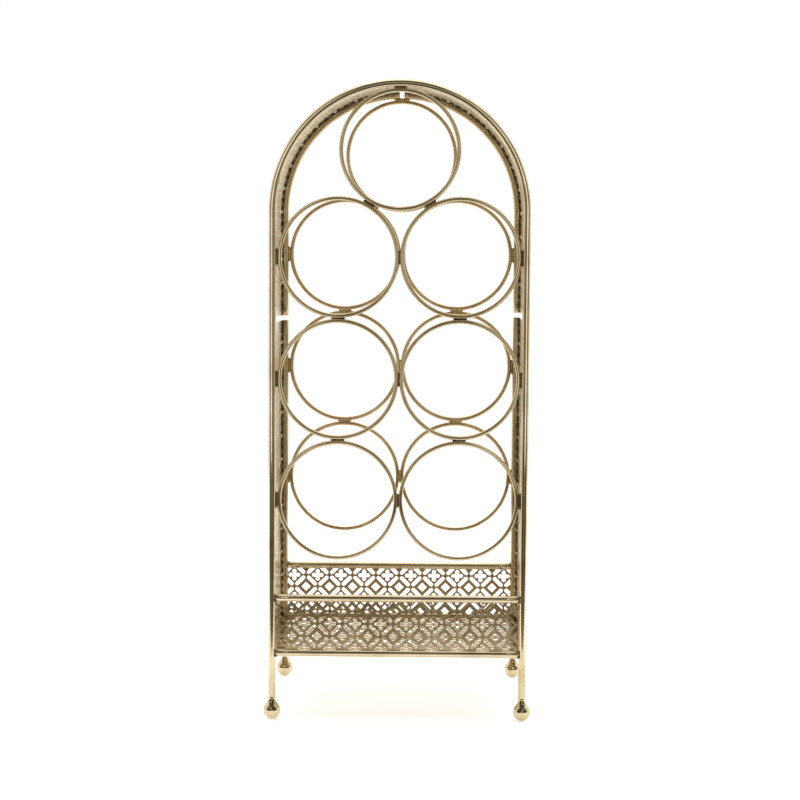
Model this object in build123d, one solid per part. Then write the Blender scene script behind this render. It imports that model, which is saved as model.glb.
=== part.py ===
from build123d import *
import math
import os

# ---------------------------------------------------------------------------
# Arched metal wine rack.  Millimetres, +Z up, front of the rack towards -Y.
# Origin: on the floor, under the centre of the rack's outer box.
# Two arched rod frames (front and rear) carry a lattice of bottle rings each.
# Bands of perforated sheet close the sides and run over the arch, and three
# more perforated sheets make the shallow basket near the floor.
# ---------------------------------------------------------------------------

# Frames
HEIGHT = 600.0            # floor to the top of the arch
ROD_D = 7.0               # round rod of both frames
ROD_R = ROD_D / 2
LEG_X = 118.0             # half the distance between left and right legs
FRAME_Y = 91.7            # half the distance between front and rear frames
ARCH_R = LEG_X            # the arch is a half circle over the two legs
ARCH_Z = HEIGHT - ROD_R - ARCH_R   # centre of the half circle

# Joints cut across the rear frame and the side bands
GAP = 4.8                 # width of each open joint
LEFT_GAP_REAR_Z = 370.8   # height of the left joint at the rear frame
LEFT_GAP_FRONT_Z = 375.4  # and at the front frame
RIGHT_GAP_REAR_Z = 375.3
RIGHT_GAP_FRONT_Z = 375.9

# Feet: turned drops with a small flat underneath
FOOT_D = 16.6
FOOT_MAX_Z = 8.2          # height of the widest point
FOOT_TOP_Z = 21.5         # leg rods start here
FOOT_FLAT_R = 2.4
FOOT_NECK_R = ROD_R

# Bottle rings
RING_R = 54.5             # centreline radius
WIRE_D = 4.0
WIRE_R = WIRE_D / 2
RING_X = 56.8             # column offset
ROW_Z = {"lower": 208.7, "middle": 322.3, "upper": 435.9}
TOP_RING_Z = 535.3

# Basket rails
RAIL_D = 6.8
RAIL_R = RAIL_D / 2
RAIL_HALF = LEG_X - ROD_R          # rails are cut square and butt on the legs
FRONT_TOP_RAIL_Z = 115.6
REAR_TOP_RAIL_Z = 115.8
BOTTOM_RAIL_Z = 63.2

# Sheet
SHEET_T = 0.8
BAND_X = LEG_X + ROD_R - SHEET_T / 2  # side bands lie flush with the outside of the rods
BAND_HALF = FRAME_Y - 2.3          # and reach from rod to rod
BAND_BOTTOM_Z = BOTTOM_RAIL_Z - RAIL_R

# Perforation: a square lattice of four-lobed holes with square holes turned
# 45 degrees in between, and four slanted slots round every one of them
PITCH = 24.0
LOBE_R = 2.15
LOBE_OFFSET = 3.85
HEART = 3.6               # half diagonal of the middle of a four-lobed hole
DIAMOND = 6.8             # side of the square hole
SLOT_L = 13.0
SLOT_W = 3.9


# ------------------------------------------------------------- perforations

def four_lobe():
    s = Rectangle(HEART * math.sqrt(2), HEART * math.sqrt(2), rotation=45)
    for k in range(4):
        a = math.radians(90 * k)
        s += Pos(LOBE_OFFSET * math.cos(a), LOBE_OFFSET * math.sin(a)) * Circle(LOBE_R)
    return s


QUATREFOIL = four_lobe()
DIAMOND_HOLE = Rectangle(DIAMOND, DIAMOND, rotation=45)
SLOT_UP = Rot(0, 0, 45) * SlotOverall(SLOT_L, SLOT_W)
SLOT_DOWN = Rot(0, 0, -45) * SlotOverall(SLOT_L, SLOT_W)


def lattice(u0, u1, v0, v1, uq, vq, keep=lambda u, v: True):
    """Every hole of the lattice as (kind, u, v): four-lobed holes at
    (uq, vq) plus whole pitches, inside u0..u1 by v0..v1."""
    out = []
    i0, i1 = math.floor((u0 - uq) / PITCH) - 1, math.ceil((u1 - uq) / PITCH) + 1
    j0, j1 = math.floor((v0 - vq) / PITCH) - 1, math.ceil((v1 - vq) / PITCH) + 1
    h, q = PITCH / 2, PITCH / 4
    for i in range(i0, i1 + 1):
        for j in range(j0, j1 + 1):
            u, v = uq + i * PITCH, vq + j * PITCH
            out.append(("four", u, v))
            out.append(("diamond", u + h, v + h))
            out.append(("down", u + q, v + q))
            out.append(("down", u - q, v - q))
            out.append(("up", u - q, v + q))
            out.append(("up", u + q, v - q))
    return [(k, u, v) for k, u, v in out if u0 <= u <= u1 and v0 <= v <= v1 and keep(u, v)]


REACH = {"four": LOBE_OFFSET + LOBE_R, "diamond": DIAMOND / math.sqrt(2),
         "up": (SLOT_L - SLOT_W) / 2 / math.sqrt(2) + SLOT_W / 2,
         "down": (SLOT_L - SLOT_W) / 2 / math.sqrt(2) + SLOT_W / 2}
SHAPES = {"four": QUATREFOIL.face(), "diamond": DIAMOND_HOLE.face(),
          "up": SLOT_UP.face(), "down": SLOT_DOWN.face()}


def perforated(plane, outline, u0, u1, v0, v1, holes):
    """Flat sheet of SHEET_T about the plane.  Holes are kept inside u0..u1;
    one that crosses v0 or v1 is cut off by that edge and leaves a notch."""
    inner, edge = [], []
    for k, u, v in holes:
        f = SHAPES[k].moved(Location((u, v, 0)))
        r = REACH[k] + 0.25
        if u0 < u - r and u + r < u1:
            if v0 < v - r and v + r < v1:
                inner.append(f.outer_wire())
            elif v0 - REACH[k] + 0.25 < v < v1 + REACH[k] - 0.25:
                edge.append(f)
    if edge:
        outline = sorted(outline.cut(*edge).faces(), key=lambda f: f.area)[-1]
    flat = Face(outline.outer_wire(), inner).moved(Location((0, 0, -SHEET_T / 2)))
    return Solid.extrude(flat, Vector(0, 0, SHEET_T)).moved(plane.location)


def rectangle(u0, u1, v0, v1):
    return (Pos((u0 + u1) / 2, (v0 + v1) / 2) * Rectangle(u1 - u0, v1 - v0)).face()


# ------------------------------------------------------------------ builders

def rod_along(path, radius):
    start = Plane(origin=path @ 0, z_dir=path % 0)
    return sweep(start * Circle(radius), path=path)


def ring(x, y, z):
    return Pos(x, y, z) * Rot(90, 0, 0) * Torus(RING_R, WIRE_R)


def rod_x(x0, x1, y, z, r):
    return Pos((x0 + x1) / 2, y, z) * Rot(0, 90, 0) * Cylinder(r, x1 - x0)


def bar(center, direction, length, r):
    """Round-ended weld bead lying along a direction in the XZ plane."""
    d = Vector(*direction).normalized()
    pl = Plane(origin=Vector(*center) - d * (length / 2 - r), z_dir=d)
    body = extrude(pl * Circle(r), amount=length - 2 * r)
    a = Vector(*center) - d * (length / 2 - r)
    b = Vector(*center) + d * (length / 2 - r)
    return body + Pos(*a) * Sphere(r) + Pos(*b) * Sphere(r)


nodes = {}

# ------------------------------------------------------------ rod frames

def arch_path(y, left_z, right_z):
    p0, p1 = (-LEG_X, y, left_z), (-LEG_X, y, ARCH_Z)
    top = (0, y, ARCH_Z + ARCH_R)
    p2, p3 = (LEG_X, y, ARCH_Z), (LEG_X, y, right_z)
    return Wire([Line(p0, p1).edge(), ThreePointArc(p1, top, p2).edge(), Line(p2, p3).edge()])


nodes["front_arch_rod"] = rod_along(arch_path(-FRAME_Y, FOOT_TOP_Z, FOOT_TOP_Z), ROD_R)

rear_all = rod_along(arch_path(FRAME_Y, FOOT_TOP_Z, FOOT_TOP_Z), ROD_R)


def gap_box(side):
    """The open joint on one side, through the rear rod and the band only."""
    if side < 0:
        zf, zr, hf = LEFT_GAP_FRONT_Z, LEFT_GAP_REAR_Z, GAP / 2 + 0.6
    else:
        zf, zr, hf = RIGHT_GAP_FRONT_Z, RIGHT_GAP_REAR_Z, GAP / 2
    yf, yr = -FRAME_Y + 1.0, FRAME_Y + 6.0
    zr2 = zr
    pts = [(yf, zf - hf), (yr, zr2 - GAP / 2), (yr, zr2 + GAP / 2), (yf, zf + hf)]
    pl = Plane(origin=(side * LEG_X - 6, 0, 0), x_dir=(0, 1, 0), z_dir=(1, 0, 0))
    return extrude(pl * Polygon(*pts, align=None), amount=12)


apex_box = Pos(0, 4, ARCH_Z + ARCH_R) * Box(GAP, 2 * FRAME_Y + 6, 16)
cuts = [gap_box(-1), gap_box(1), apex_box]
rear_parts = rear_all
for c in cuts:
    rear_parts = rear_parts - c
for s in rear_parts.solids():
    c = s.center()
    name = "rear_" + ("left" if c.X < 0 else "right") + ("_leg_rod" if c.Z < 300 else "_arch_rod")
    nodes[name] = s

# ------------------------------------------------------------ feet

def foot(x, y):
    r, zc = FOOT_D / 2, FOOT_MAX_Z
    zb = -math.sqrt(r * r - FOOT_FLAT_R ** 2)       # flat cut across the ball
    zb = max(zb, -zc)
    flat = math.sqrt(max(r * r - zb * zb, FOOT_FLAT_R ** 2))
    low = (math.sqrt(r * r - zc * zc), 0.0) if zc < r else (FOOT_FLAT_R, 0.0)
    a = math.radians(38)
    shoulder = (r * math.cos(a), zc + r * math.sin(a))
    with BuildPart() as p:
        with BuildSketch(Plane.XZ):
            with BuildLine():
                l1 = Line((0, 0), low)
                l2 = ThreePointArc(low, (r, zc), shoulder)
                l3 = Spline(shoulder, (FOOT_NECK_R, FOOT_TOP_Z),
                            tangents=[(-math.sin(a), math.cos(a)), (-0.12, 1)])
                l4 = Line((FOOT_NECK_R, FOOT_TOP_Z), (0, FOOT_TOP_Z))
                l5 = Line((0, FOOT_TOP_Z), (0, 0))
            make_face()
        revolve(axis=Axis.Z)
    return Pos(x, y, 0) * p.part


for fx, sx in (("left", -1), ("right", 1)):
    for fy, sy in (("front", -1), ("rear", 1)):
        nodes[f"{fy}_{fx}_foot"] = foot(sx * LEG_X, sy * FRAME_Y)

# ------------------------------------------------------------ bottle rings

ring_at = {}
for fy, sy in (("front", -1), ("rear", 1)):
    for row, z in ROW_Z.items():
        for side, sx in (("left", -1), ("right", 1)):
            ring_at[(fy, row, side)] = (sx * RING_X, sy * FRAME_Y, z)
            nodes[f"{fy}_ring_{row}_{side}"] = ring(sx * RING_X, sy * FRAME_Y, z)
    ring_at[(fy, "top", "")] = (0, sy * FRAME_Y, TOP_RING_Z)
    nodes[f"{fy}_ring_top"] = ring(0, sy * FRAME_Y, TOP_RING_Z)

# ------------------------------------------------------------ basket rails

nodes["front_top_rail"] = rod_x(-RAIL_HALF, RAIL_HALF, -FRAME_Y, FRONT_TOP_RAIL_Z, RAIL_R)
nodes["front_bottom_rail"] = rod_x(-RAIL_HALF, RAIL_HALF, -FRAME_Y, BOTTOM_RAIL_Z, RAIL_R)
nodes["rear_top_rail"] = rod_x(-RAIL_HALF, RAIL_HALF, FRAME_Y, REAR_TOP_RAIL_Z, RAIL_R)
nodes["rear_bottom_rail"] = rod_x(-RAIL_HALF, RAIL_HALF, FRAME_Y, BOTTOM_RAIL_Z, RAIL_R)

# ------------------------------------------------------------ basket sheets

def upright_panel(y, z0, z1, uq, vq):
    """Perforated sheet standing between two rails, from leg to leg."""
    w = 2 * RAIL_HALF
    pl = Plane(origin=(0, y, 0), x_dir=(1, 0, 0), z_dir=(0, -1, 0))
    return perforated(pl, rectangle(-w / 2, w / 2, z0, z1), -w / 2, w / 2, z0, z1,
                      lattice(-w / 2, w / 2, z0 - 8, z1 + 8, uq, vq))


nodes["basket_front_panel"] = upright_panel(
    -FRAME_Y, BOTTOM_RAIL_Z + RAIL_R, FRONT_TOP_RAIL_Z - RAIL_R, 8.5, 91.4)
nodes["basket_rear_panel"] = upright_panel(
    FRAME_Y, BOTTOM_RAIL_Z + RAIL_R, REAR_TOP_RAIL_Z - RAIL_R, 12.0, 81.5)

# floor sheet, between the bottom rails and the side bands
fw, fd = 2 * (BAND_X - SHEET_T / 2), 2 * (FRAME_Y - RAIL_R)
floor_holes = [h for h in lattice(-fw / 2 + 9, fw / 2 - 9, -fd / 2 + 9, fd / 2 - 9, 12.0, 12.0)
               if h[0] in ("four", "diamond")]
floor_outline = rectangle(-fw / 2, fw / 2, -fd / 2, fd / 2).cut(
    *[(Pos(sx * LEG_X, sy * FRAME_Y) * Circle(ROD_R + 0.05)).face() for sx in (-1, 1) for sy in (-1, 1)])
floor_outline = sorted(floor_outline.faces(), key=lambda f: f.area)[-1]
nodes["basket_floor_panel"] = perforated(
    Plane(origin=(0, 0, BOTTOM_RAIL_Z)), floor_outline, -fw / 2, fw / 2, -fd / 2, fd / 2, floor_holes)

# ------------------------------------------------------------ side bands

for side, sx in (("left", -1), ("right", 1)):
    if sx < 0:
        zf, zr, hf = LEFT_GAP_FRONT_Z, LEFT_GAP_REAR_Z, GAP / 2 + 0.6
    else:
        zf, zr, hf = RIGHT_GAP_FRONT_Z, RIGHT_GAP_REAR_Z, GAP / 2
    pl = Plane(origin=(sx * BAND_X, 0, 0), x_dir=(0, 1, 0), z_dir=(1, 0, 0))
    # edges of the open joint, at the front and at the rear of the sheet
    low_outline = Polygon((-BAND_HALF, BAND_BOTTOM_Z), (BAND_HALF, BAND_BOTTOM_Z),
                          (BAND_HALF, zr - GAP / 2), (-BAND_HALF, zf - hf), align=None).face()
    high_outline = Polygon((-BAND_HALF, zf + hf), (BAND_HALF, zr + GAP / 2),
                           (BAND_HALF, ARCH_Z), (-BAND_HALF, ARCH_Z), align=None).face()
    nodes[f"side_band_{side}_lower"] = perforated(
        pl, low_outline, -BAND_HALF, BAND_HALF, BAND_BOTTOM_Z, ARCH_Z, [])
    upper = perforated(pl, high_outline, -BAND_HALF, BAND_HALF, BAND_BOTTOM_Z, ARCH_Z, [])

    # the upper band goes on over its quarter of the arch
    with BuildPart() as quarter:
        with BuildSketch(Plane.XZ.offset(-BAND_HALF)):
            with BuildLine():
                ri, ro = BAND_X - SHEET_T / 2, BAND_X + SHEET_T / 2
                ti, to = math.asin(GAP / 2 / ri), math.asin(GAP / 2 / ro)
                mi, mo = (math.pi / 2 - ti) / 2, (math.pi / 2 - to) / 2
                a0, a1 = (sx * ri, ARCH_Z), (sx * GAP / 2, ARCH_Z + ri * math.cos(ti))
                b0, b1 = (sx * ro, ARCH_Z), (sx * GAP / 2, ARCH_Z + ro * math.cos(to))
                ThreePointArc(a0, (sx * ri * math.cos(mi), ARCH_Z + ri * math.sin(mi)), a1)
                Line(a1, b1)
                ThreePointArc(b1, (sx * ro * math.cos(mo), ARCH_Z + ro * math.sin(mo)), b0)
                Line(b0, a0)
            make_face()
        extrude(amount=2 * BAND_HALF)
    nodes[f"side_band_{side}_upper"] = upper.fuse(quarter.part.solid()).solid()

# ------------------------------------------------------------ welds

def minus(body, *names):
    for n in names:
        body = body - nodes[n]
    s = body.solids()
    s.sort(key=lambda x: x.volume, reverse=True)
    return s


def keep_largest(body, *names, count=1):
    return minus(body, *names)[:count]


BEAD_R = 1.25
for fy, sy in (("front", -1), ("rear", 1)):
    y = sy * FRAME_Y
    beads = []
    # ring to ring across the middle of each row
    for row, z in ROW_Z.items():
        b = bar((0, y, z), (0, 0, 1), 13.0, BEAD_R)
        beads += keep_largest(b, f"{fy}_ring_{row}_left", f"{fy}_ring_{row}_right")
    # ring to ring up each column
    for side, sx in (("left", -1), ("right", 1)):
        for lo, hi in (("lower", "middle"), ("middle", "upper")):
            z = (ROW_Z[lo] + ROW_Z[hi]) / 2
            b = bar((sx * RING_X, y, z), (1, 0, 0), 13.0, BEAD_R)
            beads += keep_largest(b, f"{fy}_ring_{lo}_{side}", f"{fy}_ring_{hi}_{side}")
    # top ring to the two rings below it
    for side, sx in (("left", -1), ("right", 1)):
        c = Vector(sx * RING_X, 0, ROW_Z["upper"])
        t = Vector(0, 0, TOP_RING_Z)
        m = (c + t) / 2
        d = (t - c).normalized()
        b = bar((m.X, y, m.Z), (-d.Z, 0, d.X), 12.0, 1.6)
        beads += keep_largest(b, f"{fy}_ring_top", f"{fy}_ring_upper_{side}")
    nodes[f"{fy}_ring_welds"] = Compound(children=beads)

    frame_beads = []
    for row, z in ROW_Z.items():
        for side, sx in (("left", -1), ("right", 1)):
            b = bar((sx * (LEG_X - ROD_R - 0.6), y, z), (0, 0, 1), 15.0, 1.5)
            rods = ["front_arch_rod"] if fy == "front" else [
                f"rear_{side}_leg_rod", f"rear_{side}_arch_rod"]
            frame_beads += keep_largest(b, f"{fy}_ring_{row}_{side}", *rods)
    length = 12.0 if fy == "front" else 16.0
    b = bar((0, y, HEIGHT - ROD_D - 0.6), (1, 0, 0), length, 1.6)
    rods = ["front_arch_rod"] if fy == "front" else ["rear_left_arch_rod", "rear_right_arch_rod"]
    frame_beads += keep_largest(b, f"{fy}_ring_top", *rods)
    nodes[f"{fy}_frame_welds"] = Compound(children=frame_beads)

# a bead round the inner side of every rail end, between rail and leg
rail_beads = []
for name, y, z in (("front_top_rail", -FRAME_Y, FRONT_TOP_RAIL_Z),
                   ("front_bottom_rail", -FRAME_Y, BOTTOM_RAIL_Z),
                   ("rear_top_rail", FRAME_Y, REAR_TOP_RAIL_Z),
                   ("rear_bottom_rail", FRAME_Y, BOTTOM_RAIL_Z)):
    into = 1 if y < 0 else -1          # beads sit on the inside of the basket
    for sx in (-1, 1):
        side = "left" if sx < 0 else "right"
        rod = "front_arch_rod" if y < 0 else f"rear_{side}_leg_rod"
        for up in (-1, 1):
            # beads lie on the outside of the sheets: above, below and in front of them
            b = bar((sx * (RAIL_HALF - 0.3), y - into * (RAIL_R - 0.6), z + up * 2.0), (0, 0, 1), 3.0, 1.0)
            rail_beads += keep_largest(b, name, rod)
nodes["rail_welds"] = Compound(children=rail_beads)

# ------------------------------------------------------------ export

os.makedirs("parts", exist_ok=True)
for name, shape in nodes.items():
    export_step(shape, f"parts/{name}.step")
print(len(nodes), "nodes")
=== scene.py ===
import math
import bpy
import numpy as np
from mathutils import Matrix, Vector
from mathutils.geometry import delaunay_2d_cdt


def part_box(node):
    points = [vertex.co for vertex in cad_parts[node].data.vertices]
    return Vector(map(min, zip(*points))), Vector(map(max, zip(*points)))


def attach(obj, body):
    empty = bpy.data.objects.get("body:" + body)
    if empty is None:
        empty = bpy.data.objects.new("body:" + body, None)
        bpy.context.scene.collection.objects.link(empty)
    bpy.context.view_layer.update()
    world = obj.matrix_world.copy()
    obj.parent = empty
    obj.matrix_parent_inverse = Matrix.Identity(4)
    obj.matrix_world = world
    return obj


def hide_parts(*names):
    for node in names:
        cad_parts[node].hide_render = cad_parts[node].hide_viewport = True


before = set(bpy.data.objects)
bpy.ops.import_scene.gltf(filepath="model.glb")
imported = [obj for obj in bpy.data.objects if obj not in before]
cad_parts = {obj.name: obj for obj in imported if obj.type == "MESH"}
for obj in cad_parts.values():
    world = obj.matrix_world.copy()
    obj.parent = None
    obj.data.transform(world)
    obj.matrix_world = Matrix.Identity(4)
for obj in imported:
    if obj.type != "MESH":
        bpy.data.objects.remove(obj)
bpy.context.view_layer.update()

MM = 0.001


# ------------------------------------------------------------ sizes, from the frame
def size_of(node):
    lo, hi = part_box(node)
    return np.array(lo) * 1000, np.array(hi) * 1000


_lo, _hi = size_of("front_arch_rod")
ROD_R = (_hi[1] - _lo[1]) / 2
LEG_X = _hi[0] - ROD_R
FRAME_Y = -(_lo[1] + _hi[1]) / 2
TOP_Z = _hi[2]
FOOT_TOP = _lo[2]
ARCH_Z = TOP_Z - ROD_R - LEG_X
_lo, _hi = size_of("front_ring_top")
WIRE_R = (_hi[1] - _lo[1]) / 2
RING_R = (_hi[0] - _lo[0]) / 2 - WIRE_R
_lo, _hi = size_of("front_top_rail")
RAIL_R = (_hi[2] - _lo[2]) / 2
RAIL_HALF = _hi[0]
FOOT_R = (size_of("front_left_foot")[1][0] - size_of("front_left_foot")[0][0]) / 2


def centre(node):
    lo, hi = size_of(node)
    return (lo + hi) / 2


# ------------------------------------------------------------ mesh helpers
def noise1(x, seed):
    """Smooth repeatable wobble, about -1..1."""
    r = np.random.RandomState(seed)
    out = np.zeros_like(np.asarray(x, float))
    for k in range(1, 6):
        out += r.uniform(0.4, 1.0) / k * np.sin(np.asarray(x) * k * r.uniform(0.7, 1.4) + r.uniform(0, 6.28))
    return out / 2.0


def make(name, verts, faces, mat, slot, replaces=(), sharp=None):
    me = bpy.data.meshes.new(name)
    me.from_pydata([tuple(v * MM) for v in np.asarray(verts, float)], [], [tuple(f) for f in faces])
    me.validate()
    me.update()
    for p in me.polygons:
        p.use_smooth = True
    if sharp is not None:
        me.set_sharp_from_angle(angle=math.radians(sharp))
    ob = bpy.data.objects.new(name, me)
    bpy.context.scene.collection.objects.link(ob)
    me.materials.append(mat)
    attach(ob, "root")
    if replaces:
        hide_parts(*replaces)
    return ob


def tube(path, radius, seg=24, closed=False, cap_bevel=0.0, wobble=0.0, seed=1):
    """Swept round tube along path points; a little bevel at each cut end."""
    P = np.asarray(path, float)
    n = len(P)
    if closed:
        T = np.roll(P, -1, 0) - np.roll(P, 1, 0)
    else:
        T = np.gradient(P, axis=0)
    T /= np.linalg.norm(T, axis=1)[:, None]
    up = np.array([0, 1.0, 0]) if abs(T[0][1]) < 0.9 else np.array([0, 0, 1.0])
    N = []
    v = up - T[0] * up.dot(T[0])
    v /= np.linalg.norm(v)
    for i in range(n):
        v = v - T[i] * v.dot(T[i])
        v /= np.linalg.norm(v)
        N.append(v.copy())
    N = np.array(N)
    B = np.cross(T, N)
    R = np.full(n, radius) if np.isscalar(radius) else np.asarray(radius, float)
    s = np.r_[0, np.cumsum(np.linalg.norm(np.diff(P, axis=0), axis=1))]
    if wobble:
        P = P + N * (wobble * noise1(s / 45, seed))[:, None] + B * (wobble * noise1(s / 38, seed + 9))[:, None]
    rows = []
    th = np.linspace(0, 2 * np.pi, seg, endpoint=False)
    ringat = lambda p, nn, bb, r: p + r * (np.cos(th)[:, None] * nn + np.sin(th)[:, None] * bb)
    if not closed and cap_bevel:
        rows.append(ringat(P[0], N[0], B[0], R[0] - cap_bevel))
        rows.append(ringat(P[0] + T[0] * cap_bevel, N[0], B[0], R[0]))
        core = range(1, n - 1)
    else:
        core = range(n)
    for i in core:
        rows.append(ringat(P[i], N[i], B[i], R[i]))
    if not closed and cap_bevel:
        rows.append(ringat(P[-1] - T[-1] * cap_bevel, N[-1], B[-1], R[-1]))
        rows.append(ringat(P[-1], N[-1], B[-1], R[-1] - cap_bevel))
    V = np.concatenate(rows)
    m = len(rows)
    F = []
    last = m if closed else m - 1
    for i in range(last):
        a, b = i * seg, ((i + 1) % m) * seg
        for k in range(seg):
            k2 = (k + 1) % seg
            F.append((a + k, b + k, b + k2, a + k2))
    if not closed:
        F.append(tuple(range(seg)))
        F.append(tuple(reversed(range((m - 1) * seg, m * seg))))
    return V, F


def lathe(profile, x, y, seg=48):
    prof = np.asarray(profile, float)
    th = np.linspace(0, 2 * np.pi, seg, endpoint=False)
    V, F = [], []
    for r, z in prof:
        V.append(np.c_[x + r * np.cos(th), y + r * np.sin(th), np.full(seg, z)])
    V = np.concatenate(V)
    m = len(prof)
    for i in range(m - 1):
        for k in range(seg):
            k2 = (k + 1) % seg
            F.append((i * seg + k, i * seg + k2, (i + 1) * seg + k2, (i + 1) * seg + k))
    F.append(tuple(reversed(range(seg))))
    F.append(tuple(range((m - 1) * seg, m * seg)))
    return V, F


def join(parts):
    V, F, off = [], [], 0
    for v, f in parts:
        V.append(np.asarray(v, float))
        F += [tuple(i + off for i in q) for q in f]
        off += len(v)
    return np.concatenate(V), F


# ------------------------------------------------------------ materials
def node(nt, kind, **kw):
    n = nt.nodes.new(kind)
    for k, v in kw.items():
        if k in n.inputs:
            n.inputs[k].default_value = v
        else:
            setattr(n, k, v)
    return n


def ramp(nt, fac, stops):
    r = nt.nodes.new("ShaderNodeValToRGB")
    cr = r.color_ramp
    while len(cr.elements) < len(stops):
        cr.elements.new(0.5)
    for e, (p, c) in zip(cr.elements, stops):
        e.position = p
        e.color = (*c, 1) if len(c) == 3 else c
    nt.links.new(fac, r.inputs["Fac"])
    return r


def step(nt, value, lo, hi):
    """0 at lo and 1 at hi, smooth between; lo may be the larger."""
    m = nt.nodes.new("ShaderNodeMapRange")
    m.interpolation_type = "SMOOTHSTEP"
    m.inputs["From Min"].default_value = min(lo, hi)
    m.inputs["From Max"].default_value = max(lo, hi)
    m.inputs["To Min"].default_value = 0.0 if lo < hi else 1.0
    m.inputs["To Max"].default_value = 1.0 if lo < hi else 0.0
    nt.links.new(value, m.inputs["Value"])
    return m.outputs["Result"]


def plated(name, light, mid, dark, rough=(0.12, 0.26), grain=(180, 60), bump=0.15, spots=0.35, crevice_shade=None):
    """Champagne gold plating: cloudy colour, fine drawing lines, faint
    pitting, and roughness that follows them. With the crevice option set, a
    near-black painted shade is laid where the side bands meet the rods."""
    m = bpy.data.materials.new(name)
    m.use_nodes = True
    nt = m.node_tree
    b = nt.nodes["Principled BSDF"]
    b.inputs["Metallic"].default_value = 1.0
    b.inputs["IOR"].default_value = 1.5
    tc = nt.nodes.new("ShaderNodeTexCoord")
    L = nt.links.new
    # broad clouds of colour
    n1 = node(nt, "ShaderNodeTexNoise", Scale=26.0, Detail=5.0, Roughness=0.6)
    L(tc.outputs["Object"], n1.inputs["Vector"])
    c1 = ramp(nt, n1.outputs["Fac"], [(0.30, dark), (0.5, mid), (0.68, light)])
    # fine stain specks
    n2 = node(nt, "ShaderNodeTexNoise", Scale=420.0, Detail=4.0, Roughness=0.7)
    L(tc.outputs["Object"], n2.inputs["Vector"])
    r2 = ramp(nt, n2.outputs["Fac"], [(0.36, (spots, spots, spots)), (0.52, (0, 0, 0))])
    mx = node(nt, "ShaderNodeMix", data_type="RGBA", blend_type="MULTIPLY")
    L(r2.outputs["Color"], mx.inputs["Factor"])
    L(c1.outputs["Color"], mx.inputs["A"])
    mx.inputs["B"].default_value = (0.72, 0.60, 0.45, 1)
    colour = mx.outputs["Result"]
    if crevice_shade:
        sp = nt.nodes.new("ShaderNodeSeparateXYZ")
        L(tc.outputs["Object"], sp.inputs[0])
        ab = node(nt, "ShaderNodeMath", operation="ABSOLUTE")
        L(sp.outputs["Y"], ab.inputs[0])
        if crevice_shade == "rod":
            # painted shade along the outside of the rod, in the crevice where the band's edge is brazed on
            up = node(nt, "ShaderNodeMath", operation="SUBTRACT")
            L(sp.outputs["Z"], up.inputs[0])
            up.inputs[1].default_value = ARCH_Z * MM
            mxz = node(nt, "ShaderNodeMath", operation="MAXIMUM")
            L(up.outputs[0], mxz.inputs[0])
            mxz.inputs[1].default_value = 0.0
            cv = nt.nodes.new("ShaderNodeCombineXYZ")
            L(sp.outputs["X"], cv.inputs[0])
            L(mxz.outputs[0], cv.inputs[1])
            ln = node(nt, "ShaderNodeVectorMath", operation="LENGTH")
            L(cv.outputs[0], ln.inputs[0])
            far = step(nt, ln.outputs["Value"], 0.1192, 0.1200)
            near = step(nt, ab.outputs[0], 0.0900, 0.0893)
            mul = node(nt, "ShaderNodeMath", operation="MULTIPLY")
            L(far, mul.inputs[0])
            L(near, mul.inputs[1])
            shade_mask = mul.outputs[0]
        else:
            # painted shade on punched edges that face front or back, beside the rods
            geo = nt.nodes.new("ShaderNodeNewGeometry")
            sn = nt.nodes.new("ShaderNodeSeparateXYZ")
            L(geo.outputs["True Normal"], sn.inputs[0])
            an = node(nt, "ShaderNodeMath", operation="ABSOLUTE")
            L(sn.outputs["Y"], an.inputs[0])
            wall = step(nt, an.outputs[0], 0.15, 0.35)
            beside = step(nt, ab.outputs[0], 0.0672, 0.0690)
            mul = node(nt, "ShaderNodeMath", operation="MULTIPLY")
            L(wall, mul.inputs[0])
            L(beside, mul.inputs[1])
            shade_mask = mul.outputs[0]
        # near-black painted shade mixed into the colour inside that mask
        shade_mix = node(nt, "ShaderNodeMix", data_type="RGBA")
        L(shade_mask, shade_mix.inputs["Factor"])
        L(colour, shade_mix.inputs["A"])
        shade_mix.inputs["B"].default_value = (0.022, 0.014, 0.008, 1)
        colour = shade_mix.outputs["Result"]
    L(colour, b.inputs["Base Color"])
    # grain: stretched noise for drawing and plating lines
    mp = node(nt, "ShaderNodeMapping")
    mp.inputs["Scale"].default_value = (grain[0], grain[0], grain[1])
    L(tc.outputs["Object"], mp.inputs["Vector"])
    n3 = node(nt, "ShaderNodeTexNoise", Scale=6.0, Detail=6.0, Roughness=0.62)
    L(mp.outputs["Vector"], n3.inputs["Vector"])
    mr = node(nt, "ShaderNodeMapRange")
    mr.inputs["To Min"].default_value = rough[0]
    mr.inputs["To Max"].default_value = rough[1]
    mr.inputs["From Min"].default_value = 0.3
    mr.inputs["From Max"].default_value = 0.7
    L(n3.outputs["Fac"], mr.inputs["Value"])
    L(mr.outputs["Result"], b.inputs["Roughness"])
    # surface relief: slow waviness of the plating plus fine grain
    n4 = node(nt, "ShaderNodeTexNoise", Scale=95.0, Detail=3.0, Roughness=0.5)
    L(tc.outputs["Object"], n4.inputs["Vector"])
    b1 = node(nt, "ShaderNodeBump", Strength=bump, Distance=0.0006)
    L(n4.outputs["Fac"], b1.inputs["Height"])
    b2 = node(nt, "ShaderNodeBump", Strength=bump * 0.6, Distance=0.00012)
    L(n3.outputs["Fac"], b2.inputs["Height"])
    L(b1.outputs["Normal"], b2.inputs["Normal"])
    L(b2.outputs["Normal"], b.inputs["Normal"])
    return m


# front rods carry the painted crevice shade where the bands meet them
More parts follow.
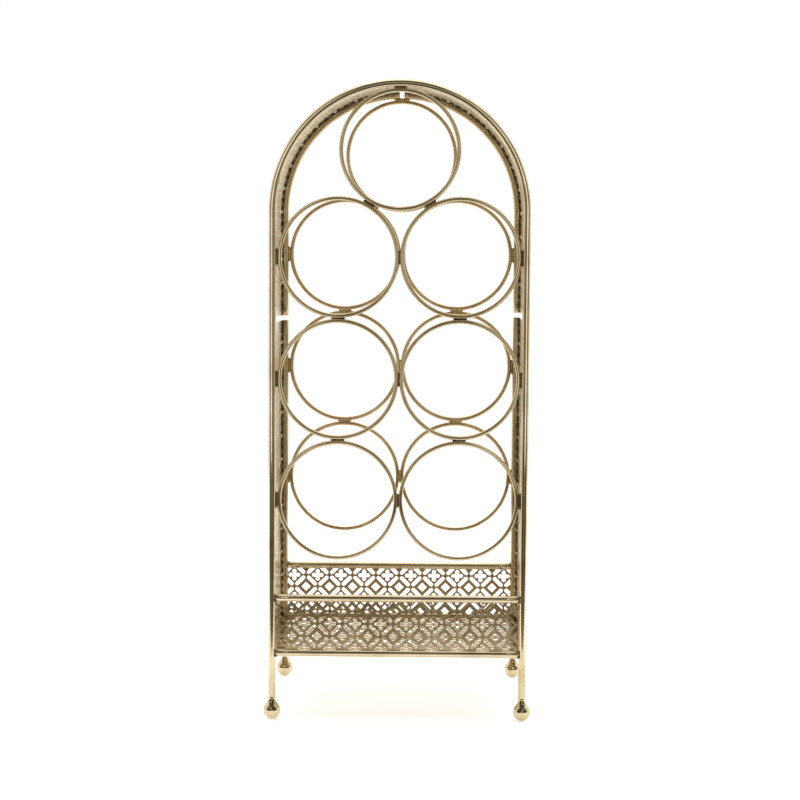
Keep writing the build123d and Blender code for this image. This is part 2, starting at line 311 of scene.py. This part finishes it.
ROD = plated("plated_rod", (0.78, 0.68, 0.48), (0.70, 0.59, 0.39), (0.56, 0.45, 0.27), rough=(0.07, 0.15), bump=0.08, crevice_shade="rod")
# darker, browner copy of the rod plating: painted shade on the rear frame behind the basket; it also carries the
# painted crevice shade
REAR_ROD_SHADED = plated("plated_rear_rod", (0.70, 0.57, 0.34), (0.62, 0.49, 0.27), (0.50, 0.38, 0.19), rough=(0.18, 0.30), bump=0.10, crevice_shade="rod")
RAIL = plated("plated_rail", (0.66, 0.48, 0.245), (0.56, 0.39, 0.18), (0.44, 0.29, 0.12), rough=(0.14, 0.24), bump=0.08)
RING = plated("plated_wire", (0.76, 0.65, 0.43), (0.68, 0.56, 0.34), (0.54, 0.42, 0.23), rough=(0.08, 0.16), bump=0.10)
# darker, browner copy of the ring wire: painted shade on the rear rings behind the basket
REAR_RING_SHADED = plated("plated_rear_wire", (0.72, 0.57, 0.34), (0.63, 0.48, 0.26), (0.50, 0.36, 0.18), rough=(0.12, 0.22), bump=0.10)
SHEET = plated("plated_sheet", (0.60, 0.475, 0.285), (0.51, 0.39, 0.215), (0.38, 0.28, 0.14), rough=(0.15, 0.28), grain=(90, 90), bump=0.25)
# band carries painted shade on the punched walls beside the rods
BAND = plated("plated_band", (0.80, 0.70, 0.51), (0.70, 0.60, 0.41), (0.50, 0.39, 0.24), rough=(0.12, 0.24), grain=(90, 90), bump=0.20, crevice_shade="edge")
FOOT = plated("polished_foot", (0.78, 0.68, 0.45), (0.70, 0.59, 0.36), (0.56, 0.45, 0.25), rough=(0.06, 0.14), grain=(60, 260), bump=0.06)
WELD = plated("plated_weld", (0.34, 0.24, 0.12), (0.22, 0.15, 0.07), (0.11, 0.07, 0.03), rough=(0.30, 0.55), grain=(400, 400), bump=0.55, spots=0.8)
WELD_GOLD = plated("plated_weld_bright", (0.74, 0.58, 0.32), (0.60, 0.44, 0.21), (0.38, 0.26, 0.11), rough=(0.20, 0.40), grain=(400, 400), bump=0.50, spots=0.6)


# ------------------------------------------------------------ rods
def arc_points(y, a0, a1, step=2.0):
    n = max(2, int(round(abs(a1 - a0) / math.radians(step))))
    return [(LEG_X * math.cos(a), y, ARCH_Z + LEG_X * math.sin(a)) for a in np.linspace(a0, a1, n + 1)]


def line_points(p, q, step=12.0):
    p, q = np.array(p, float), np.array(q, float)
    n = max(2, int(round(np.linalg.norm(q - p) / step)))
    return [tuple(p + (q - p) * t) for t in np.linspace(0, 1, n + 1)]


front = (line_points((-LEG_X, -FRAME_Y, FOOT_TOP), (-LEG_X, -FRAME_Y, ARCH_Z))[:-1]
         + arc_points(-FRAME_Y, math.pi, 0.0)
         + line_points((LEG_X, -FRAME_Y, ARCH_Z), (LEG_X, -FRAME_Y, FOOT_TOP))[1:])
make("front_arch_rod_bent", *tube(front, ROD_R, seg=32), ROD, "rod", ["front_arch_rod"], sharp=50)

for side, sx in (("left", -1), ("right", 1)):
    lo, hi = size_of(f"rear_{side}_leg_rod")
    make(f"rear_{side}_leg_rod_drawn",
         *tube(line_points((sx * LEG_X, FRAME_Y, lo[2]), (sx * LEG_X, FRAME_Y, hi[2])), ROD_R, seg=32, cap_bevel=0.35),
         REAR_ROD_SHADED, "rod", [f"rear_{side}_leg_rod"], sharp=50)
    lo, hi = size_of(f"rear_{side}_arch_rod")
    inner = min(abs(lo[0]), abs(hi[0]))
    a_end = math.acos(inner / LEG_X)
    pts = line_points((sx * LEG_X, FRAME_Y, lo[2]), (sx * LEG_X, FRAME_Y, ARCH_Z))[:-1]
    pts += [(sx * x, y, z) for x, y, z in arc_points(FRAME_Y, 0.0, a_end)]
    make(f"rear_{side}_arch_rod_bent", *tube(pts, ROD_R, seg=32, cap_bevel=0.35),
         REAR_ROD_SHADED, "rod", [f"rear_{side}_arch_rod"], sharp=50)

for name in ("front_top_rail", "front_bottom_rail", "rear_top_rail", "rear_bottom_rail"):
    c = centre(name)
    make(name + "_drawn", *tube(line_points((-RAIL_HALF, c[1], c[2]), (RAIL_HALF, c[1], c[2])), RAIL_R, seg=32,
                                cap_bevel=0.45), ROD, "rod", [name], sharp=50)

# ------------------------------------------------------------ rings
RINGS = [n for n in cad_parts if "_ring_" in n and "weld" not in n]
for i, name in enumerate(sorted(RINGS)):
    c = centre(name)
    th = np.linspace(0, 2 * np.pi, 144, endpoint=False)
    path = np.c_[c[0] + RING_R * np.cos(th), np.full_like(th, c[1]), c[2] + RING_R * np.sin(th)]
    # the ring's own butt weld: a slightly fuller band of wire, dressed smooth
    seam = math.radians([90, 270, 0, 180][i % 4] + 20)
    d = np.abs((th - seam + np.pi) % (2 * np.pi) - np.pi) * RING_R
    r = WIRE_R - 0.05 + 0.05 * np.exp(-(d / 1.6) ** 2)
    make(name + "_wire", *tube(path, r, seg=20, closed=True), RING if name.startswith("front") else REAR_RING_SHADED,
         "ring_wire", [name])

# ------------------------------------------------------------ feet
def foot_profile():
    pts = [(0.9, 0.0), (2.1, 0.0)]
    zc = 8.2
    R = FOOT_R
    for a in np.linspace(math.radians(-74), math.radians(38), 26):
        pts.append((R * math.cos(a), zc + R * math.sin(a)))
    pts = [p for p in pts if p[1] >= 0]
    p0 = np.array(pts[-1]); a = math.radians(38)
    p3 = np.array([ROD_R, FOOT_TOP])
    p1 = p0 + 5.0 * np.array([-math.sin(a), math.cos(a)])
    p2 = p3 - 3.2 * np.array([-0.12, 1.0])
    for t in np.linspace(0, 1, 16)[1:]:
        q = (1 - t) ** 3 * p0 + 3 * (1 - t) ** 2 * t * p1 + 3 * (1 - t) * t ** 2 * p2 + t ** 3 * p3
        pts.append(tuple(q))
    return pts


PROF = foot_profile()
for fy in ("front", "rear"):
    for fx in ("left", "right"):
        n = f"{fy}_{fx}_foot"
        c = centre(n)
        make(n + "_turned", *lathe(PROF, c[0], c[1], 64), FOOT, "foot", [n], sharp=40)

# ------------------------------------------------------------ perforated sheet
PITCH = 24.0
T = 0.8


def circle_pts(cx, cy, r, a0, a1, n):
    return [(cx + r * math.cos(a), cy + r * math.sin(a)) for a in np.linspace(a0, a1, n)]


def four_lobe(lobe=2.15, off=3.85, waist=1.35):
    """Four round lobes on the arms of a small cross, joined by soft waists."""
    pts = []
    for k in range(4):
        a = math.pi / 2 * k
        c, s = math.cos(a), math.sin(a)
        arc = circle_pts(off, 0, lobe, -math.radians(128), math.radians(128), 13)
        corner = [(waist + 0.45, waist + 0.45)]
        for x, y in arc + corner:
            pts.append((x * c - y * s, x * s + y * c))
    return pts


def diamond(side=6.8, r=0.5):
    h = side / 2
    pts = []
    for k in range(4):
        cx, cy = [(h - r, h - r), (-h + r, h - r), (-h + r, -h + r), (h - r, -h + r)][k]
        pts += circle_pts(cx, cy, r, math.pi / 2 * k, math.pi / 2 * (k + 1), 4)
    c = math.cos(math.pi / 4)
    return [(x * c - y * c, x * c + y * c) for x, y in pts]


def slot_pts(length=13.0, width=3.9, sign=1):
    r = width / 2
    h = length / 2 - r
    pts = circle_pts(h, 0, r, -math.pi / 2, math.pi / 2, 9) + circle_pts(-h, 0, r, math.pi / 2, 3 * math.pi / 2, 9)
    c = math.cos(math.pi / 4)
    s = sign * c
    return [(x * c - y * s, x * s + y * c) for x, y in pts]


SHAPES = {"four": four_lobe(), "diamond": diamond(), "up": slot_pts(sign=1), "down": slot_pts(sign=-1)}
REACH = {k: max(max(abs(x), abs(y)) for x, y in v) for k, v in SHAPES.items()}


def lattice(u0, u1, v0, v1, uq, vq):
    out = []
    h, q = PITCH / 2, PITCH / 4
    for i in range(math.floor((u0 - uq) / PITCH) - 1, math.ceil((u1 - uq) / PITCH) + 2):
        for j in range(math.floor((v0 - vq) / PITCH) - 1, math.ceil((v1 - vq) / PITCH) + 2):
            u, v = uq + i * PITCH, vq + j * PITCH
            out += [("four", u, v), ("diamond", u + h, v + h), ("down", u + q, v + q), ("down", u - q, v - q),
                    ("up", u - q, v + q), ("up", u + q, v - q)]
    seen, res = set(), []
    for k, u, v in out:
        key = (k, round(u, 3), round(v, 3))
        if key not in seen and u0 <= u <= u1 and v0 <= v <= v1:
            seen.add(key)
            res.append((k, u, v))
    return res


def inside(poly, X, Y):
    p = np.asarray(poly)
    r = np.zeros(len(X), bool)
    n = len(p)
    for i in range(n):
        x1, y1 = p[i]
        x2, y2 = p[(i + 1) % n]
        c = (y1 > Y) != (y2 > Y)
        with np.errstate(divide="ignore", invalid="ignore"):
            r ^= c & (X < (x2 - x1) * (Y - y1) / (y2 - y1) + x1)
    return r


def flat_sheet(outline, holes, vlines=()):
    """Triangles of the outline without its holes, in the sheet's own plane."""
    V, E = [], []

    def loop(pts):
        n0 = len(V)
        V.extend(Vector(p) for p in pts)
        k = len(pts)
        E.extend((n0 + i, n0 + (i + 1) % k) for i in range(k))
    loop(outline)
    for k, u, v in holes:
        loop([(u + x, v + y) for x, y in SHAPES[k]])
    us = [p[0] for p in outline]
    for v in vlines:
        n0 = len(V)
        V.extend([Vector((min(us), v)), Vector((max(us), v))])
        E.append((n0, n0 + 1))
    vo, _, fo, _, _, _ = delaunay_2d_cdt(V, E, [], 0, 1e-4)
    P = np.array([(p.x, p.y) for p in vo])
    F = np.array([tuple(f) for f in fo])
    C = P[F].mean(1)
    keep = inside(outline, C[:, 0], C[:, 1])
    for k, u, v in holes:
        r = REACH[k] + 0.01
        near = np.nonzero(keep & (abs(C[:, 0] - u) < r) & (abs(C[:, 1] - v) < r))[0]
        if len(near):
            hit = inside([(u + x, v + y) for x, y in SHAPES[k]], C[near, 0], C[near, 1])
            keep[near[hit]] = False
    F = biggest(F[keep])
    used = np.unique(F)
    m = -np.ones(len(P), int)
    m[used] = np.arange(len(used))
    return P[used], m[F]


def biggest(F):
    """The largest connected piece, so no crumbs are left beside a cut hole."""
    label = {}

    def find(a):
        while label.setdefault(a, a) != a:
            label[a] = label[label[a]]
            a = label[a]
        return a
    for f in F.tolist():
        r = find(f[0])
        for x in f[1:]:
            label[find(x)] = r
    roots = np.array([find(f[0]) for f in F.tolist()])
    vals, counts = np.unique(roots, return_counts=True)
    return F[roots == vals[counts.argmax()]]


def thicken(P, F, place, t=T):
    """place(u, v) gives points and normals; makes the closed sheet."""
    X, N = place(P)
    a = P[F]
    area = (a[:, 1, 0] - a[:, 0, 0]) * (a[:, 2, 1] - a[:, 0, 1]) - (a[:, 2, 0] - a[:, 0, 0]) * (a[:, 1, 1] - a[:, 0, 1])
    F = np.where((area < 0)[:, None], F[:, ::-1], F)
    F = F[np.abs(area) > 1e-7]
    n = len(P)
    V = np.concatenate([X + N * t / 2, X - N * t / 2])
    faces = [tuple(f) for f in F] + [tuple(x + n for x in f[::-1]) for f in F]
    edges = {}
    for f in F:
        for i in range(3):
            edges[(f[i], f[(i + 1) % 3])] = True
    for (i, j) in list(edges):
        if (j, i) not in edges:
            faces.append((j, i, i + n, j + n))
    return V, faces


def plane_place(origin, eu, ev):
    o, eu, ev = map(lambda q: np.asarray(q, float), (origin, eu, ev))
    nn = np.cross(eu, ev)

    def f(P):
        X = o + P[:, :1] * eu + P[:, 1:2] * ev
        return X, np.repeat(nn[None], len(P), 0)
    return f


def panel(name, y, uq, vq):
    lo, hi = size_of(name)
    u0, u1, v0, v1 = lo[0], hi[0], lo[2], hi[2]
    hs = []
    for k, u, v in lattice(u0 - 8, u1 + 8, v0 - 8, v1 + 8, uq, vq):
        if u0 - REACH[k] + 0.3 < u < u1 + REACH[k] - 0.3 and v0 - REACH[k] + 0.3 < v < v1 + REACH[k] - 0.3:
            hs.append((k, u, v))
    P, F = flat_sheet([(u0, v0), (u1, v0), (u1, v1), (u0, v1)], hs)
    V, faces = thicken(P, F, plane_place((0, y, 0), (1, 0, 0), (0, 0, 1)))
    return make(name + "_pierced", V, faces, SHEET, "basket_sheet", [name], sharp=35)


panel("basket_front_panel", -FRAME_Y, 8.5, 91.4)
panel("basket_rear_panel", FRAME_Y, 12.0, 81.5)

lo, hi = size_of("basket_floor_panel")
fz = (lo[2] + hi[2]) / 2
fw, fd = hi[0], hi[1]
cr = ROD_R + 0.05
out = []
for qx, qy, a0, a1 in ((1, 1, 1.5, 1.0), (-1, 1, 2.0, 1.5), (-1, -1, 2.5, 2.0), (1, -1, 3.0, 2.5)):
    # points of a quarter-round notch at each corner, where the leg passes; they are not used, and the outline stays a
    # plain rectangle
    cx, cy = qx * LEG_X, qy * FRAME_Y
    arc = []
    for a in np.linspace(0, 2 * math.pi, 49):
        x, y = cx + cr * math.cos(a), cy + cr * math.sin(a)
        if abs(x) < fw and abs(y) < fd:
            arc.append((x, y))
    if len(arc) > 1:
        arc.sort(key=lambda p: (math.atan2(p[1] - cy, p[0] - cx) - math.atan2(-qy, -qx) + 3 * math.pi) % (2 * math.pi))
    out.append((qx, qy, arc))
outline = [(-fw, -fd), (fw, -fd), (fw, fd), (-fw, fd)]
hs = [h for h in lattice(-fw + 8.5, fw - 8.5, -fd + 8.5, fd - 8.5, 12.0, 12.0)]
P, F = flat_sheet(outline, hs)
V, faces = thicken(P, F, plane_place((0, 0, fz), (1, 0, 0), (0, 1, 0)))
make("basket_floor_panel_pierced", V, faces, SHEET, "basket_sheet", ["basket_floor_panel"], sharp=35)

# ------------------------------------------------------------ side bands
BAND_HALF = size_of("side_band_left_lower")[1][1]
BAND_X = -(size_of("side_band_left_lower")[0][0] + size_of("side_band_left_lower")[1][0]) / 2
ARC_N = 8                                # pitches of lattice in a quarter of the arch


def band_place(sx):
    """(u, v): u runs front to back, v up the side and then along the arch."""
    def f(P):
        u, v = P[:, 0], P[:, 1]
        a = np.clip((v - ARCH_Z) / (ARC_N * PITCH), 0, None) * math.pi / 2
        up = v <= ARCH_Z
        x = np.where(up, BAND_X, BAND_X * np.cos(a))
        z = np.where(up, v, ARCH_Z + BAND_X * np.sin(a))
        nx, nz = np.where(up, 1, np.cos(a)), np.where(up, 0, np.sin(a))
        X = np.c_[sx * x, u, z]
        N = np.c_[sx * nx, 0 * u, nz]
        return X, N if sx > 0 else -N
    return f


def band_holes(v0, v1, phase):
    """The lattice over the whole band; both long edges cut through it."""
    hs = []
    for k, u, v in lattice(-BAND_HALF - 8, BAND_HALF + 8, v0, v1, 12.0, phase):
        if abs(u) < BAND_HALF + REACH[k] - 0.3 and v0 + REACH[k] + 1.2 < v < v1 - REACH[k] - 1.2:
            hs.append((k, u, v))
    return hs


def edge_v(side, level, y):
    """Height of the band's end at the open joint, at depth y."""
    if side == "left":
        zf, zr, hf, hr = 375.4, 370.8, 3.0, 2.4
    else:
        zf, zr, hf, hr = 375.9, 375.3, 2.4, 2.4
    t = (y + BAND_HALF) / (2 * BAND_HALF)
    s = -1 if level == "lower" else 1
    return (zf + s * hf) * (1 - t) + (zr + s * hr) * t


for side, sx in (("left", -1), ("right", 1)):
    lo, hi = size_of(f"side_band_{side}_lower")
    v0 = lo[2]
    tf, tr = edge_v(side, "lower", -BAND_HALF), edge_v(side, "lower", BAND_HALF)
    hs = band_holes(v0, min(tf, tr), 250.2)
    P, F = flat_sheet([(-BAND_HALF, v0), (BAND_HALF, v0), (BAND_HALF, tr), (-BAND_HALF, tf)], hs)
    V, faces = thicken(P, F, band_place(sx))
    make(f"side_band_{side}_lower_pierced", V, faces, BAND, "band_sheet", [f"side_band_{side}_lower"], sharp=35)
    bf, br = edge_v(side, "upper", -BAND_HALF), edge_v(side, "upper", BAND_HALF)
    top = ARCH_Z + ARC_N * PITCH * (1 - math.asin(2.4 / BAND_X) / (math.pi / 2))
    hs = band_holes(max(bf, br), top, ARCH_Z)
    vl = [v for v in np.arange(ARCH_Z, top, 3.0)]
    P, F = flat_sheet([(-BAND_HALF, bf), (BAND_HALF, br), (BAND_HALF, top), (-BAND_HALF, top)], hs, vl)
    V, faces = thicken(P, F, band_place(sx))
    make(f"side_band_{side}_upper_pierced", V, faces, BAND, "band_sheet", [f"side_band_{side}_upper"], sharp=35)


# ------------------------------------------------------------ welds
def bead(c, d, length, r, seed, flat=0.85):
    """Short lumpy weld bead along d, tapering at both ends."""
    d = np.array(d, float)
    d /= np.linalg.norm(d)
    t = np.linspace(-1, 1, 21)
    P = np.array(c) + d * (t * length / 2)[:, None]
    rr = r * np.sqrt(np.clip(1 - np.abs(t) ** 4, 0.02, 1)) * (1 + 0.07 * noise1(t * 5, seed))
    V, F = tube(P, rr, seg=18)
    q = V - np.array(c)
    q[:, 1] *= flat + 0.05 * noise1(q.dot(d) * 0.8, seed + 3)
    return q + np.array(c), F


for fy in ("front", "rear"):
    parts = []
    C = {n: centre(n) for n in RINGS if n.startswith(fy)}
    y = centre(f"{fy}_ring_top")[1]
    k = 0
    for row in ("lower", "middle", "upper"):
        a, b = C[f"{fy}_ring_{row}_left"], C[f"{fy}_ring_{row}_right"]
        parts.append(bead(((a[0] + b[0]) / 2, y, a[2]), (0, 0, 1), 13.5, 1.3, 11 + k)); k += 1
    for side in ("left", "right"):
        for l, h in (("lower", "middle"), ("middle", "upper")):
            a, b = C[f"{fy}_ring_{l}_{side}"], C[f"{fy}_ring_{h}_{side}"]
            parts.append(bead((a[0], y, (a[2] + b[2]) / 2), (1, 0, 0), 13.0, 1.3, 31 + k)); k += 1
        a, t = C[f"{fy}_ring_upper_{side}"], C[f"{fy}_ring_top"]
        d = t - a
        parts.append(bead((a + t) / 2, (-d[2], 0, d[0]), 12.0, 1.6, 51 + k)); k += 1
    make(f"{fy}_ring_weld_beads", *join(parts), WELD if fy == "front" else WELD_GOLD, "weld", [f"{fy}_ring_welds"])
    parts = []
    for row in ("lower", "middle", "upper"):
        for side, sx in (("left", -1), ("right", 1)):
            z = C[f"{fy}_ring_{row}_{side}"][2]
            parts.append(bead((sx * (LEG_X - ROD_R - 0.6), y, z), (0, 0, 1), 15.5, 1.5, 71 + k)); k += 1
    parts.append(bead((0, y, TOP_Z - 2 * ROD_R - 0.6), (1, 0, 0), 12.0 if fy == "front" else 16.0, 1.6, 91 + k))
    make(f"{fy}_frame_weld_beads", *join(parts), WELD if fy == "front" else WELD_GOLD, "weld", [f"{fy}_frame_welds"])

parts = []
k = 0
for name in ("front_top_rail", "front_bottom_rail", "rear_top_rail", "rear_bottom_rail"):
    c = centre(name)
    into = 1 if c[1] < 0 else -1
    for sx in (-1, 1):
        for up in (-1, 1):
            parts.append(bead((sx * (RAIL_HALF - 0.3), c[1] - into * (RAIL_R - 0.6), c[2] + up * 2.0), (0, 0, 1), 3.4, 1.05, 200 + k)); k += 1
make("rail_weld_beads", *join(parts), WELD, "weld", ["rail_welds"])

# ------------------------------------------------------------ stage, light, camera
fmesh = bpy.data.meshes.new("floor")
corners = [(1.8 * math.cos(t), max(1.8 * math.sin(t), -0.40), 0) for t in np.linspace(0, 2 * math.pi, 96, endpoint=False)]
fmesh.from_pydata(corners, [], [tuple(range(len(corners)))])
floor = bpy.data.objects.new("floor", fmesh)
bpy.context.scene.collection.objects.link(floor)
fm = bpy.data.materials.new("pale_floor")
fm.use_nodes = True
nt = fm.node_tree
b = nt.nodes["Principled BSDF"]
b.inputs["Base Color"].default_value = (0.93, 0.93, 0.925, 1)
b.inputs["Roughness"].default_value = 0.6
b.inputs["Specular IOR Level"].default_value = 0.15
b.inputs["Emission Color"].default_value = (1, 1, 1, 1)
b.inputs["Emission Strength"].default_value = 0.50
floor.data.materials.append(fm)

w = bpy.data.worlds.new("studio")
bpy.context.scene.world = w
w.use_nodes = True
nt = w.node_tree
nt.nodes.clear()
L = nt.links.new
outw = nt.nodes.new("ShaderNodeOutputWorld")
tc = nt.nodes.new("ShaderNodeTexCoord")
lp = nt.nodes.new("ShaderNodeLightPath")


# white room, with the dark of the studio on the side the camera stands
vm = nt.nodes.new("ShaderNodeVectorMath")
vm.operation = "DOT_PRODUCT"
vm.inputs[1].default_value = Vector((0.06, -1, 0.06)).normalized()
L(tc.outputs["Generated"], vm.inputs[0])
mr = nt.nodes.new("ShaderNodeMapRange")
mr.inputs["From Min"].default_value = -1
mr.inputs["From Max"].default_value = 1
L(vm.outputs["Value"], mr.inputs["Value"])
mixc = ramp(nt, mr.outputs["Result"], [
    (0.0, (1, 1, 1)), (0.50, (1, 1, 1)), (0.62, (0.72, 0.71, 0.68)), (0.71, (0.22, 0.20, 0.165)),
    (0.79, (0.060, 0.052, 0.040)), (0.955, (0.052, 0.045, 0.034)), (0.985, (0.22, 0.20, 0.17)), (1.0, (0.42, 0.40, 0.36))])
bg1 = nt.nodes.new("ShaderNodeBackground")
bg1.inputs["Strength"].default_value = 1.10
L(mixc.outputs["Color"], bg1.inputs["Color"])
bg2 = nt.nodes.new("ShaderNodeBackground")
bg2.inputs["Color"].default_value = (1, 1, 1, 1)
bg2.inputs["Strength"].default_value = 1.0
ms = nt.nodes.new("ShaderNodeMixShader")
L(lp.outputs["Is Camera Ray"], ms.inputs["Fac"])
L(bg1.outputs[0], ms.inputs[1])
L(bg2.outputs[0], ms.inputs[2])
L(ms.outputs[0], outw.inputs["Surface"])


def area(name, loc, target, size, power, size_y=None):
    li = bpy.data.lights.new(name, "AREA")
    li.energy = power
    li.size = size
    if size_y:
        li.shape = "RECTANGLE"
        li.size_y = size_y
    o = bpy.data.objects.new(name, li)
    bpy.context.scene.collection.objects.link(o)
    o.location = loc
    o.rotation_mode = "QUATERNION"
    o.rotation_quaternion = (Vector(target) - Vector(loc)).to_track_quat("-Z", "Y")
    return o


# two tall soft cards just in front, to the left and right of the view
for sx in (-1, 1):
    card = area(f"card_{'left' if sx < 0 else 'right'}", (sx * 0.40, -0.46, 0.58), (sx * 0.40, 0.6, 0.58), 0.52, 0.55, 0.76)
    card.data.spread = math.radians(100)
    card.visible_camera = False
sun_d = bpy.data.lights.new("overhead", "SUN")
sun_d.energy = 0.7
sun_d.angle = math.radians(70)
sun = bpy.data.objects.new("overhead", sun_d)
bpy.context.scene.collection.objects.link(sun)
sun.rotation_euler = (math.radians(-8), math.radians(6), 0)

cam_d = bpy.data.cameras.new("camera")
cam_d.sensor_width = 36
cam_d.lens = 2004.0 / 800 * 36
cam = bpy.data.objects.new("camera", cam_d)
bpy.context.scene.collection.objects.link(cam)
yaw, pitch, roll = map(math.radians, (0.48, -4.98, -0.38))
Rz = np.array([[math.cos(yaw), -math.sin(yaw), 0], [math.sin(yaw), math.cos(yaw), 0], [0, 0, 1]])
Rx = np.array([[1, 0, 0], [0, math.cos(pitch), -math.sin(pitch)], [0, math.sin(pitch), math.cos(pitch)]])
Ry = np.array([[math.cos(roll), 0, math.sin(roll)], [0, 1, 0], [-math.sin(roll), 0, math.cos(roll)]])
M = Rz @ Rx @ Ry
right, fwd, up = M[:, 0], M[:, 1], M[:, 2]
mat = Matrix([[right[i], up[i], -fwd[i], 0] for i in range(3)] + [[0, 0, 0, 1]])
mat.translation = Vector((0.01694, -1.95407, 0.46564))
cam.matrix_world = mat
bpy.context.scene.camera = cam

bpy.context.scene.view_settings.view_transform = "Standard"
